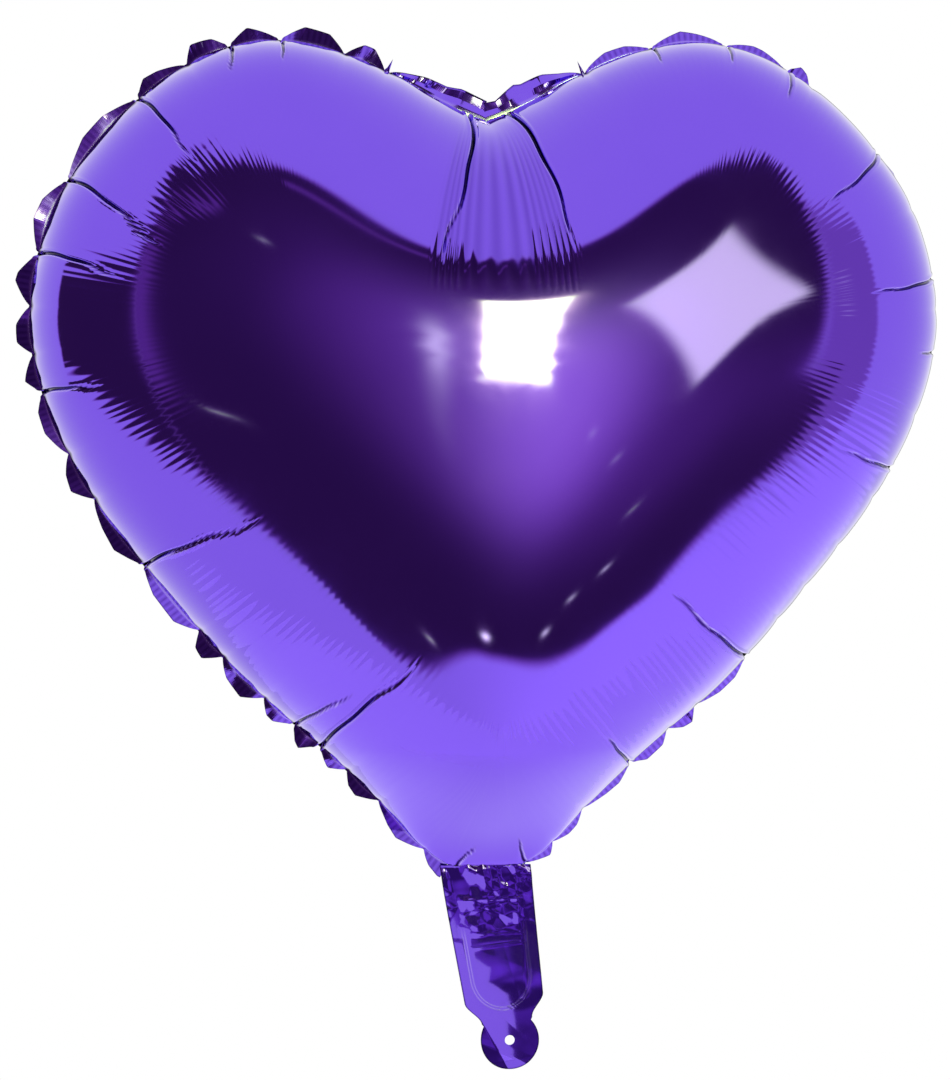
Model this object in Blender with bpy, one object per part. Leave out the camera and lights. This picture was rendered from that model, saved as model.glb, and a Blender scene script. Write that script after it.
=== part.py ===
"""Heart-shaped foil balloon, 450 mm across when flat, inflated, with its filling tail hanging from the tip.

Two foil panels are welded face to face round their edge and blown up. The film runs on past the heart's tip
as a short neck, a filling tail and a round hanging tab, and a flat self-closing valve of two thin films lies
inside the neck and the tail, with two flaps that reach up into the heart.

Metres, +Z up, the front towards -Y. The origin is the neck's tie point, at the heart's tip on the weld plane.
"""

import math

import bmesh
import bpy
import numpy as np
from mathutils import Vector

MM = 0.001

# Films. The real film is about 0.04 mm thick; these solids are thicker, with a gap between the layers.
FILM = 0.25 * MM
LAYER_GAP = 0.3 * MM
WELDED_OFFSET = LAYER_GAP / 2
CHANNEL_OFFSET = WELDED_OFFSET + FILM + LAYER_GAP

# The heart, measured along the weld's inner edge.
HALF_WIDTH = 185 * MM
NOTCH_Z = 303 * MM
HALF_THICKNESS = 74 * MM
TIP_RISE = 50 * MM
ROUNDING = 10 * MM
ROUNDING_REACH = 100 * MM
CENTRE_Z = 190 * MM
FLANGE = 5 * MM
SCALLOP = 1.2 * MM
SCALLOPS_PER_SIDE = 17
EDGE_STEPS_PER_SIDE = 34
NECK_STEPS = 6
RINGS = 12
EDGE_PIECES = 12

# Points on the right half of the weld's inner edge, from the notch down to the neck.
EDGE_POINTS = [
    (0, NOTCH_Z),
    (18 * MM, 311 * MM),
    (36 * MM, 321 * MM),
    (60 * MM, 331 * MM),
    (86 * MM, 335.5 * MM),
    (112 * MM, 330 * MM),
    (138 * MM, 314 * MM),
    (161 * MM, 290 * MM),
    (177 * MM, 263 * MM),
    (HALF_WIDTH, 226 * MM),
    (179 * MM, 190 * MM),
    (160 * MM, 151 * MM),
    (129 * MM, 111 * MM),
    (97 * MM, 75 * MM),
    (65 * MM, 47 * MM),
    (42 * MM, 25 * MM),
    (27 * MM, 9 * MM),
]

# The neck, tail and tab, measured down their own centre line, which leans to the right.
LEAN = math.radians(8)
TWIST_GAP = 0.3 * MM
FOLD_GAP = 1.4 * MM
NECK_LENGTH = 12 * MM
NECK_HALF_WIDTH = 18.6 * MM
TAIL_HALF_WIDTH = 16.2 * MM
TAIL_STRAIGHT_END = 54 * MM
WAIST = 63.5 * MM
WAIST_HALF_WIDTH = 10.4 * MM
TAB_FOLD_GAP = 1.7 * MM
TAB_RADIUS = 12 * MM
TAB_CENTRE = 71.5 * MM
HOLE_RADIUS = 2.05 * MM
WELD_MARGIN = 4.2 * MM
CHANNEL_RAMP = 1.6 * MM
CHANNEL_END = 50 * MM

# The valve films.
VALVE_HALF_WIDTH = 11.5 * MM
VALVE_OUTER_END = 33 * MM
FLAP_LENGTH = 50 * MM

FRONT, BACK = -1, 1


def smooth(t):
    t = np.clip(t, 0.0, 1.0)
    return t * t * (3 - 2 * t)


def make_material(name, colour, roughness, metallic, alpha=1.0):
    material = bpy.data.materials.new(name)
    material.use_nodes = True
    shader = material.node_tree.nodes["Principled BSDF"]
    shader.inputs["Base Color"].default_value = (*colour, 1)
    shader.inputs["Roughness"].default_value = roughness
    shader.inputs["Metallic"].default_value = metallic
    shader.inputs["Alpha"].default_value = alpha
    material.diffuse_color = (*colour, alpha)
    return material


def curve_through(points, steps):
    """Points at equal distances along a Catmull-Rom curve through these points."""
    points = np.array(points)
    ends = np.vstack([2 * points[0] - points[1], points, 2 * points[-1] - points[-2]])
    fine = []
    for before, start, end, after in zip(ends, ends[1:], ends[2:], ends[3:]):
        for t in np.linspace(0, 1, 24, endpoint=False):
            fine.append(
                0.5
                * (
                    2 * start
                    + (end - before) * t
                    + (2 * before - 5 * start + 4 * end - after) * t**2
                    + (3 * start - before - 3 * end + after) * t**3
                )
            )
    fine = np.array(fine + [points[-1]])
    along = np.concatenate([[0], np.cumsum(np.linalg.norm(np.diff(fine, axis=0), axis=1))])
    wanted = np.linspace(0, along[-1], steps + 1)
    return np.column_stack([np.interp(wanted, along, fine[:, axis]) for axis in (0, 1)])


def heart_edge():
    """The weld's inner edge as x, z points: down the right side, across the neck, and up the left side."""
    neck_x = NECK_HALF_WIDTH - WELD_MARGIN
    right = curve_through(EDGE_POINTS + [(neck_x, TWIST_GAP)], EDGE_STEPS_PER_SIDE)
    across = np.column_stack(
        [np.linspace(neck_x, -neck_x, NECK_STEPS + 1)[1:-1], np.full(NECK_STEPS - 1, TWIST_GAP)]
    )
    left = right[::-1][:-1] * (-1, 1)
    return np.vstack([right, across, left])


def inset_from(points, edge):
    """A smooth stand-in for each point's distance from the edge: exact close to it, and rounded off inside."""
    after = np.roll(edge, -1, axis=0)
    shares = (np.arange(EDGE_PIECES) + 0.5) / EDGE_PIECES
    pieces = (edge[:, None] + (after - edge)[:, None] * shares[None, :, None]).reshape(-1, 2)
    length = np.repeat(np.linalg.norm(after - edge, axis=1), EDGE_PIECES) / EDGE_PIECES
    reach = np.linalg.norm(points[:, None] - pieces[None], axis=2)
    return np.sqrt(2 / (length / reach**3).sum(axis=1))


def inflated_height(points, edge):
    """How far the blown-up film stands off the weld plane: steep at the weld, gently rounded from side
    to side in the middle, and rising more slowly from the neck."""
    deepest = inset_from(np.array([[0, CENTRE_Z]]), edge)[0]
    share = np.minimum(inset_from(points, edge) / deepest, 1.0)
    from_neck = np.clip((points[:, 1] - TWIST_GAP) / TIP_RISE, 0, 1)
    fallen = ROUNDING * (1 - np.exp(-((points[:, 0] / ROUNDING_REACH) ** 2))) * smooth(share / 0.7)
    return (HALF_THICKNESS * np.sqrt(1 - (1 - share) ** 1.5) - fallen) * (1 - (1 - from_neck) ** 1.6)


def channel_height(x, half_width):
    """Extra room between the films for the valve, inside a strip's welded margins."""
    inside = half_width - WELD_MARGIN - abs(x)
    return (CHANNEL_OFFSET - WELDED_OFFSET) * smooth(inside / CHANNEL_RAMP)


def film_object(name, grid, closed, side, material, parent=None):
    """A film from rows of (x, offset, z) points: its inner face, thickened away from the weld plane."""
    bm = bmesh.new()
    rows = [[bm.verts.new((x, side * y, z)) for x, y, z in row] for row in grid]
    for upper, lower in zip(rows, rows[1:]):
        count = len(upper)
        for i in range(count if closed else count - 1):
            j = (i + 1) % count
            corners = [upper[i], upper[j], lower[j], lower[i]]
            bm.faces.new(list(dict.fromkeys(corners)))
    return finish_film(name, bm, side, material, parent)


def finish_film(name, bm, side, material, parent):
    bm.normal_update()
    facing = sum(face.normal.y * face.calc_area() for face in bm.faces)
    if facing * side < 0:
        bmesh.ops.reverse_faces(bm, faces=bm.faces)
    mesh = bpy.data.meshes.new(name)
    bm.to_mesh(mesh)
    bm.free()
    mesh.shade_smooth()
    mesh.set_sharp_from_angle(angle=math.radians(40))
    mesh.materials.append(material)
    film = bpy.data.objects.new(name, mesh)
    film.parent = parent
    bpy.context.scene.collection.objects.link(film)
    thickness = film.modifiers.new("film thickness", "SOLIDIFY")
    thickness.thickness = FILM
    thickness.offset = 1
    thickness.use_even_offset = True
    return film


def foil_panel(name, side, material):
    """One face of the heart: a blown-up dish, open at the neck, with the scalloped weld flange round it."""
    edge = heart_edge()
    centre = np.array([0, CENTRE_Z])
    count = len(edge)
    neck_first = EDGE_STEPS_PER_SIDE + 1
    neck_last = neck_first + NECK_STEPS - 2
    grid = []
    for ring in range(1, RINGS + 1):
        share = math.sin(ring / RINGS * math.pi / 2)
        points = centre + (edge - centre) * share
        height = inflated_height(points, edge) if ring < RINGS else np.zeros(count)
        row = []
        for (x, z), rise in zip(points, height):
            at_neck = 1 - smooth((z - TWIST_GAP) / (14 * MM))
            room = at_neck * channel_height(x, NECK_HALF_WIDTH)
            row.append((x, WELDED_OFFSET + rise + room, z))
        grid.append(row)

    bm = bmesh.new()
    top = inflated_height(centre[None], edge)[0] + WELDED_OFFSET
    middle = bm.verts.new((0, side * top, CENTRE_Z))
    rows = [[bm.verts.new((x, side * y, z)) for x, y, z in row] for row in grid]
    for i in range(count):
        bm.faces.new([middle, rows[0][i], rows[0][(i + 1) % count]])
    for inner, outer in zip(rows, rows[1:]):
        for i in range(count):
            j = (i + 1) % count
            bm.faces.new([inner[i], outer[i], outer[j], inner[j]])

    rim = {}
    for i in range(count):
        if neck_first <= i <= neck_last:
            continue
        rim[i] = bm.verts.new(flange_point(edge, i, side))
    for i in range(count):
        j = (i + 1) % count
        if i in rim and j in rim:
            bm.faces.new([rows[-1][i], rim[i], rim[j], rows[-1][j]])
    return finish_film(name, bm, side, material, None)


def flange_point(edge, i, side):
    """The flange's outer edge beside point i of the weld, square to it, and level at the neck and the notch."""
    count = len(edge)
    x, z = edge[i]
    if i in (EDGE_STEPS_PER_SIDE, EDGE_STEPS_PER_SIDE + NECK_STEPS):
        outward, width = np.array([math.copysign(1, x), 0]), WELD_MARGIN
    elif i == 0:
        outward, width = np.array([0, 1]), FLANGE
    else:
        along = edge[(i + 1) % count] - edge[i - 1]
        outward = np.array([-along[1], along[0]]) / np.linalg.norm(along)
        steps_up = min(i, count - i)
        turn = steps_up / EDGE_STEPS_PER_SIDE * SCALLOPS_PER_SIDE * math.pi
        width = FLANGE + SCALLOP * (abs(math.sin(turn)) - 0.5)
    x, z = np.array([x, z]) + outward * width
    return (x, side * WELDED_OFFSET, z)


def tail_half_width(along):
    """Half the strip's width, straight-sided to the waist's shoulders and rounded in to the waist."""
    taper = min(along, TAIL_STRAIGHT_END) / TAIL_STRAIGHT_END
    width = NECK_HALF_WIDTH + (TAIL_HALF_WIDTH - NECK_HALF_WIDTH) * taper
    if along > TAIL_STRAIGHT_END:
        shoulder = (along - TAIL_STRAIGHT_END) / (WAIST - TAIL_STRAIGHT_END)
        width -= (TAIL_HALF_WIDTH - WAIST_HALF_WIDTH) * smooth(shoulder)
    return width


def strip_rows(start, end, steps, half_width, offset, turn):
    """Rows of points down a strip. Each row is turned about the centre line by turn(along), in the weld plane."""
    rows = []
    for along in np.linspace(start, end, steps + 1):
        width = half_width(along)
        row = []
        for share in np.linspace(-1, 1, 25):
            across = share * width
            angle = turn(along)
            x = across * math.cos(angle) + along * math.sin(LEAN)
            z = across * math.sin(angle) - along * math.cos(LEAN)
            row.append((x, offset(across, along), z))
        rows.append(row)
    return rows


def foil_offset(across, along):
    """The outer films lie flat together at the welded margins and stand apart over the valve."""
    closing = 1 - smooth((along - CHANNEL_END) / (8 * MM))
    return WELDED_OFFSET + channel_height(across, tail_half_width(along)) * closing


def neck_turn(along):
    return LEAN * smooth(along / (NECK_LENGTH - FOLD_GAP))


def straight_turn(_along):
    return LEAN


def valve_width(_along):
    return VALVE_HALF_WIDTH


def valve_offset(_across, _along):
    return WELDED_OFFSET


def in_frame_of(empty, rows):
    """The rows' points in the empty's own frame, so that a piece's origin lies on its joint's axis."""
    inverse = empty.matrix_world.inverted()
    return [[tuple(inverse @ Vector(point)) for point in row] for row in rows]


def joint_empty(name, along, lean):
    empty = bpy.data.objects.new(name, None)
    empty.empty_display_size = 10 * MM
    empty.location = (along * math.sin(LEAN), 0, -along * math.cos(LEAN))
    empty.rotation_euler = (0, -lean, 0)
    bpy.context.scene.collection.objects.link(empty)
    bpy.context.view_layer.update()
    return empty


def strip_film(name, side, material, parent, start, end, steps, half_width, offset, turn):
    rows = strip_rows(start, end, steps, half_width, offset, turn)
    return film_object(name, in_frame_of(parent, rows), False, side, material, parent)


def tab_film(name, side, material, parent):
    """The round tab below the waist, flat, with its hanging hole."""
    top = WAIST + TAB_FOLD_GAP - TAB_CENTRE
    start = math.atan2(-top, WAIST_HALF_WIDTH)
    angles = np.linspace(start, -math.pi - start, 41)
    outline = [(TAB_RADIUS * math.cos(a), TAB_RADIUS * math.sin(a)) for a in angles]
    hole = [
        (HOLE_RADIUS * math.cos(a), HOLE_RADIUS * math.sin(a))
        for a in np.linspace(0, 2 * math.pi, 24, endpoint=False)
    ]
    below_fold = TAB_CENTRE - WAIST
    bm = bmesh.new()
    edges = []
    for loop in (outline, hole):
        verts = [bm.verts.new((x, side * WELDED_OFFSET, z - below_fold)) for x, z in loop]
        edges += [bm.edges.new((a, b)) for a, b in zip(verts, verts[1:] + verts[:1])]
    bmesh.ops.triangle_fill(bm, use_beauty=True, use_dissolve=False, edges=edges)
    return finish_film(name, bm, side, material, parent)


def valve_flap(name, side, material, parent):
    """The flap's inner face stands straight up inside the heart from the top of the neck."""
    rows = []
    for z in np.linspace(0, FLAP_LENGTH, 6):
        width = VALVE_HALF_WIDTH * (1 - 0.08 * z / FLAP_LENGTH)
        rows.append([(x, 0, z) for x in np.linspace(-width, width, 5)])
    return film_object(name, rows, False, side, material, parent)


def flap_empty(name, side):
    empty = bpy.data.objects.new(name, None)
    empty.empty_display_size = 10 * MM
    empty.location = (0, side * WELDED_OFFSET, TWIST_GAP)
    bpy.context.scene.collection.objects.link(empty)
    bpy.context.view_layer.update()
    return empty


def main():
    for obj in list(bpy.data.objects):
        bpy.data.objects.remove(obj, do_unlink=True)

    foil = make_material("violet metallised film", (0.16, 0.05, 0.62), 0.1, 1.0)
    valve = make_material("clear valve film", (0.78, 0.8, 0.86), 0.3, 0.0, 0.5)

    neck_joint = joint_empty("tail_twist_axis", 0, 0)
    tail_joint = joint_empty("tail_fold_axis", NECK_LENGTH, LEAN)
    tab_joint = joint_empty("tab_fold_axis", WAIST, LEAN)

    for word, side in (("front", FRONT), ("back", BACK)):
        foil_panel(f"{word}_foil_panel", side, foil)
        strip_film(
            f"neck_{word}_foil", side, foil, neck_joint,
            TWIST_GAP, NECK_LENGTH - FOLD_GAP, 3, tail_half_width, foil_offset, neck_turn,
        )
        strip_film(
            f"tail_{word}_foil", side, foil, tail_joint,
            NECK_LENGTH + FOLD_GAP, WAIST - TAB_FOLD_GAP, 12, tail_half_width, foil_offset, straight_turn,
        )
        strip_film(
            f"neck_{word}_valve_film", side, valve, neck_joint,
            TWIST_GAP, NECK_LENGTH - FOLD_GAP, 3, valve_width, valve_offset, neck_turn,
        )
        strip_film(
            f"tail_{word}_valve_film", side, valve, tail_joint,
            NECK_LENGTH + FOLD_GAP, VALVE_OUTER_END, 4, valve_width, valve_offset, straight_turn,
        )
        tab_film(f"tab_{word}_foil", side, foil, tab_joint)
        flap_joint = flap_empty(f"valve_{word}_open_axis", side)
        valve_flap(f"valve_{word}_flap", side, valve, flap_joint)


main()
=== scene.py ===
"""The looks of the heart-shaped foil balloon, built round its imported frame.

Two blown-up foil skins are pinched and creased along the weld, with the weld's own flange outside it. Below
the tip the film runs on as a gathered neck, a flat filling tail and a folded hanging tab.

Metres, +Z up, the front towards -Y.
"""

import math

import bpy
import numpy as np
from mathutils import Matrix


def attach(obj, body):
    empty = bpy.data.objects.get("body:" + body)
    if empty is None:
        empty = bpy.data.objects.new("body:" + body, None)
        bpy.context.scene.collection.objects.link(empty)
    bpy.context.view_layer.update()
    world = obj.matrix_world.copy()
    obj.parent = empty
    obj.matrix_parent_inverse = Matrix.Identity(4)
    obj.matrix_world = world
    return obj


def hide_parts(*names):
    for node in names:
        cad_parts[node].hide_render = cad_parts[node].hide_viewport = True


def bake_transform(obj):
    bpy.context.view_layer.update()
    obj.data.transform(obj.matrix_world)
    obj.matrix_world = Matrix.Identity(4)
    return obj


MM = 0.001
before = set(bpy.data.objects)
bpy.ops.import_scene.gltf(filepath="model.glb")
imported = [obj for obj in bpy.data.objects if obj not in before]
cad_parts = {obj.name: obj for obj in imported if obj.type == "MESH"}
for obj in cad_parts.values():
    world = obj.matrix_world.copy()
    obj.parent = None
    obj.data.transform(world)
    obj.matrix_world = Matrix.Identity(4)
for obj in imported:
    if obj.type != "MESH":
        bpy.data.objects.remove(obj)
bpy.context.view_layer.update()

# The heart, along the weld's inner edge, as the CAD panels have it.
FILM = 0.25 * MM
WELDED_OFFSET = 0.15 * MM
CHANNEL_ROOM = 0.55 * MM
HALF_THICKNESS = 74 * MM
TIP_RISE = 50 * MM
ROUNDING = 10 * MM
ROUNDING_REACH = 100 * MM
LEVELLING = 0.05
CENTRE = np.array([0, 190 * MM])
TWIST_GAP = 0.3 * MM
EDGE_POINTS = MM * np.array([
    (0, 303), (18, 311), (36, 321), (60, 331), (86, 335.5), (112, 330),
    (138, 314), (161, 290), (177, 263), (185, 226), (179, 190), (160, 151),
    (129, 111), (97, 75), (65, 47), (42, 25), (27, 9),
])

# The skins' grid: columns run inward from the weld, and rings run round at equal depths.
COLUMNS = 1920
EDGE_PIECES_PER_SIDE = 440
STRAIGHT_DEPTH = 4 * MM
LAST_RING_DEPTH = 72 * MM
RINGS = 42
INNER_RINGS = 15

# The neck, tail and tab, measured down their own centre line, which leans to the right.
LEAN = math.radians(8)
NECK_HALF_WIDTH = 18.6 * MM
WELD_MARGIN = 4.2 * MM
VALVE_HALF_WIDTH = 11.5 * MM
VALVE_END = 33 * MM
NECK_CUT = 6 * MM
TAIL_CUT = 33.7 * MM
FOIL_SKIN = 0.08 * MM
FLANGE_SKIN = 0.24 * MM

# How far to each side of the notch the flange is one folded band with no pinches.
NOTCH_BAND = 44 * MM

# The folded band's width at places from the notch, in mm.
BAND_PLACES = [-44, -30, -14, -2, 7, 17, 30, 44]
BAND_WIDTHS = [0.7, 5.5, 8.6, 8.0, 6.0, 9.6, 7.2, 0.7]

# The tent's small lamps: (azimuth, elevation, width in degrees, strength).
SMALL_LAMPS = [
    (22.7, -24.5, 1.1, 0.7),
    (26.9, -21.1, 0.9, 0.5),
    (32.5, -19.6, 0.8, 0.5),
    (-20.8, -29.3, 0.9, 0.6),
    (-30.7, -12.8, 0.5, 0.5),
    (-17.9, 18.9, 0.8, 0.25),
    (47, 6, 2.2, 0.12),
    (30.6, -13.1, 0.7, 0.3),
    (21.9, -5.1, 0.6, 0.2),
    (16.9, -1.8, 0.5, 0.2),
]

# Creases across the neck and tail, in mm: (how far down, how far they lean per mm across, how deep).
TAIL_CREASES = [(13.5, 0.10, 0.32), (16.5, -0.16, 0.2), (27.5, 0.12, 0.22), (32.4, 0.03, 0.2)]

# Creases run in from the weld, in mm: (where they start, where they end, how deep they are at the weld).
FRONT_CREASES = [
    ((-9, 304), (-22, 243), 2.6),
    ((8, 306), (33, 250), 2.4),
    ((-84, 335), (-84, 326), 1.2),
    ((-104, 331), (-105, 321), 1.6),
    ((-141, 311), (-121, 287), 2.2),
    ((-169, 279), (-134, 252), 2.2),
    ((-182, 249), (-150, 240), 2.0),
    ((-181, 193), (-158, 196), 1.8),
    ((-139, 123), (-97, 144), 2.2),
    ((-68, 50), (-36, 86), 2.2),
    ((-78, 58), (-58, 74), 1.2),
    ((68, 333), (69, 326), 1.2),
    ((98, 334), (98, 326), 1.4),
    ((123, 324), (120, 311), 1.6),
    ((160, 291), (134, 267), 2.0),
    ((183, 240), (152, 231), 2.0),
    ((184, 210), (174, 208), 1.4),
    ((166, 163), (140, 168), 2.0),
    ((107, 86), (66, 112), 2.2),
    ((60, 42), (44, 54), 1.8),
    ((-12, 1), (-5, 9), 1.0),
    ((17, 1), (12, 12), 1.0),
]


def smooth(t):
    t = np.clip(t, 0, 1)
    return t * t * (3 - 2 * t)


def curve_through(points, steps):
    """Points at equal distances along a Catmull-Rom curve through these points."""
    points = np.array(points)
    ends = np.vstack([2 * points[0] - points[1], points, 2 * points[-1] - points[-2]])
    t = np.linspace(0, 1, 24, endpoint=False)[:, None]
    fine = []
    for before, start, end, after in zip(ends, ends[1:], ends[2:], ends[3:]):
        fine.append(
            0.5 * (2 * start + (end - before) * t + (2 * before - 5 * start + 4 * end - after) * t**2
                   + (3 * start - before - 3 * end + after) * t**3)
        )
    fine = np.vstack(fine + [points[-1:]])
    along = np.concatenate([[0], np.cumsum(np.linalg.norm(np.diff(fine, axis=0), axis=1))])
    wanted = np.linspace(0, along[-1], steps + 1)
    return np.column_stack([np.interp(wanted, along, fine[:, axis]) for axis in (0, 1)])


class Heart:
    """The heart's outline, its depth field and the columns that run inward from the weld."""

    def __init__(self):
        neck_x = NECK_HALF_WIDTH - WELD_MARGIN
        right = curve_through(np.vstack([EDGE_POINTS, (neck_x, TWIST_GAP)]), EDGE_PIECES_PER_SIDE)
        spacing = np.linalg.norm(right[1] - right[0])
        across_count = max(2, round(2 * neck_x / spacing))
        across = np.column_stack(
            [np.linspace(neck_x, -neck_x, across_count + 1)[1:-1], np.full(across_count - 1, TWIST_GAP)]
        )
        self.edge = np.vstack([right, across, right[::-1][:-1] * (-1, 1)])
        after = np.roll(self.edge, -1, axis=0)
        self.length = np.linalg.norm(after - self.edge, axis=1)
        self.middle = (self.edge + after) / 2
        self.along = np.concatenate([[0], np.cumsum(self.length)])
        self.perimeter = self.along[-1]
        self.deepest = self.depth(CENTRE[None])[0]

    def depth(self, points):
        return self.depth_and_slope(points)[0]

    def depth_and_slope(self, points):
        """A smooth stand-in for the distance from the weld, and its slope."""
        depths, slopes = [], []
        for some in np.array_split(points, max(1, len(points) // 400)):
            gap = some[:, None] - self.middle[None]
            inverse = 1 / (gap**2).sum(axis=2)
            cubed = inverse * np.sqrt(inverse) * self.length
            total = cubed.sum(axis=1)
            depth = np.sqrt(2 / total)
            pull = np.einsum("ij,ijk->ik", cubed * inverse, gap)
            depths.append(depth)
            slopes.append(1.5 * (depth / total)[:, None] * pull)
        return np.concatenate(depths), np.vstack(slopes)

    def apart(self, place, other):
        """How far two places round the weld are from each other, the shorter way."""
        return np.abs((place - other + self.perimeter / 2) % self.perimeter - self.perimeter / 2)

    def from_notch(self, along):
        """How far round the weld from the notch, with the left side negative."""
        return np.where(along < self.perimeter / 2, along, along - self.perimeter)

    def nearest_along(self, point):
        """How far round the weld the point nearest to this one lies."""
        return self.along[np.argmin(np.linalg.norm(self.edge - np.array(point), axis=1))]

    def columns(self, crowded):
        """Distances round the weld, closer together at the places listed and across the notch."""
        place = np.linspace(0, self.perimeter, 24000, endpoint=False)
        density = np.ones_like(place)
        for at in crowded:
            density += 1.6 * np.exp(-((self.apart(place, at) / (2.4 * MM)) ** 2))
        density += 3 * (1 - smooth((np.abs(self.from_notch(place)) - 12 * MM) / (8 * MM)))
        total = np.concatenate([[0], np.cumsum(density)])
        shares = np.arange(COLUMNS) / COLUMNS
        return np.interp(shares * total[-1], total, np.append(place, self.perimeter))

    def edge_point(self, along):
        closed = np.vstack([self.edge, self.edge[:1]])
        return np.column_stack([np.interp(along, self.along, closed[:, k]) for k in (0, 1)])

    def edge_at(self, along):
        """Points of the weld's inner edge, and the direction that runs in from each."""
        step = 2.5 * MM
        ahead = self.edge_point((along + step) % self.perimeter)
        forward = ahead - self.edge_point((along - step) % self.perimeter)
        inward = np.column_stack([forward[:, 1], -forward[:, 0]])
        return self.edge_point(along), inward / np.linalg.norm(inward, axis=1)[:, None]

    def to_level(self, points, level, times):
        """The points moved down or up the depth field to one depth, in short steps."""
        for _ in range(times):
            depth, slope = self.depth_and_slope(points)
            step = (level - depth)[:, None] * slope / (slope**2).sum(axis=1)[:, None]
            size = np.linalg.norm(step, axis=1)[:, None]
            points = points + step * np.minimum(1, 3 * MM / np.maximum(size, 1e-9))
        return points

    def rings(self, along):
        """Each ring's depth and its points, from the weld inward."""
        start, inward = self.edge_at(along)
        first = self.to_level(start + inward * STRAIGHT_DEPTH, STRAIGHT_DEPTH, 4)
        depths = ring_depths()
        rows = []
        points = first
        for depth in depths:
            if depth <= STRAIGHT_DEPTH:
                rows.append(start + (first - start) * (depth / STRAIGHT_DEPTH))
            else:
                points = self.to_level(points, depth, 2)
                rows.append(points)
        return depths, np.array(rows)


def profile(share):
    """Height over the weld plane against depth in from the weld, both as shares of the middle's."""
    left = LEVELLING * np.logaddexp(0, (1 - np.asarray(share)) / LEVELLING)
    return np.sqrt(1 - np.minimum(left, 1) ** 1.5)


def inflated_height(points, share):
    """How far the blown-up film stands off the weld plane, rounded off towards the sides."""
    falling = ROUNDING * (1 - np.exp(-((points[..., 0] / ROUNDING_REACH) ** 2))) * smooth(share / 0.7)
    return (HALF_THICKNESS * profile(share) - falling) * tip_share(points[..., 1])


def ring_depths():
    """Depths whose rings lie at nearly equal distances along the film."""
    fine = LAST_RING_DEPTH * np.linspace(0, 1, 4000) ** 2
    usual_deepest = 87.3 * MM
    height = HALF_THICKNESS * profile(fine / usual_deepest)
    walked = np.concatenate([[0], np.cumsum(np.hypot(np.diff(fine), np.diff(height)))])
    share = np.linspace(0, 1, RINGS)
    return np.interp((0.55 * share + 0.45 * share**1.7) * walked[-1], walked, fine)


def tip_share(z):
    """The film flattens towards the tip: the share of its full height that it has at this level."""
    from_neck = np.clip((z - TWIST_GAP) / TIP_RISE, 0, 1)
    return 1 - (1 - from_neck) ** 1.6


def neck_room(points):
    """The room that the foils leave for the valve between the neck's side welds."""
    at_neck = 1 - smooth((points[:, 1] - TWIST_GAP) / (14 * MM))
    inside = NECK_HALF_WIDTH - WELD_MARGIN - np.abs(points[:, 0])
    return at_neck * CHANNEL_ROOM * smooth(inside / (1.6 * MM))


def segment_place(points, start, end):
    """Each point's share of the way along a segment, and its distance to the side of it."""
    line = end - start
    length = np.linalg.norm(line)
    gap = points - start
    share = gap @ line / length**2
    side = (gap[..., 0] * line[1] - gap[..., 1] * line[0]) / length
    return share, side


def crease(points, start, end, deep):
    """A sharp valley that thins out towards its inner end: its lift, its painted shadow and a painted
    highlight along one edge.
    """
    share, side = segment_place(points, start, end)
    length = np.linalg.norm(end - start)
    inner = np.clip(share, 0, 1)
    side = side + length * (0.035 * np.sin(inner * 5.2) + 0.012 * np.sin(inner * 13))
    width = (0.56 - 0.22 * inner) * MM
    reach = smooth(5 * (1 - share)) * smooth((share * length + 3 * MM) / (3 * MM))
    fade = reach * (0.45 + 0.55 * (1 - inner))
    valley = np.exp(-np.abs(side / width) ** 1.5)
    shoulder = np.exp(-(((np.abs(side) - 2.4 * width) / (1.3 * width)) ** 2))
    shadow = reach * np.exp(-((side / (1.15 * width)) ** 4)) * (1 - 0.3 * inner**2)
    edge = reach * np.exp(-(((side - 1.9 * width) / (0.45 * width)) ** 2)) * (1 - 0.6 * inner)
    return deep * MM * fade * (0.22 * shoulder - valley), shadow, edge


def even_creases(heart, rng):
    """Creases at nearly even distances round the weld, for the side that isn't seen from the front."""
    found = []
    for at in (np.arange(19) + rng.uniform(-0.25, 0.25, 19)) / 19 * heart.perimeter:
        start, inward = heart.edge_at(np.array([at % heart.perimeter]))
        if abs(start[0, 0]) < 26 * MM and start[0, 1] < 20 * MM:
            continue
        bend = rng.uniform(-0.25, 0.25)
        turn = np.array([[math.cos(bend), math.sin(bend)], [-math.sin(bend), math.cos(bend)]])
        end = start[0] + inward[0] @ turn * rng.uniform(12, 46) * MM
        found.append((tuple(start[0] / MM), tuple(end / MM), rng.uniform(1.3, 2.2)))
    return found


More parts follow.
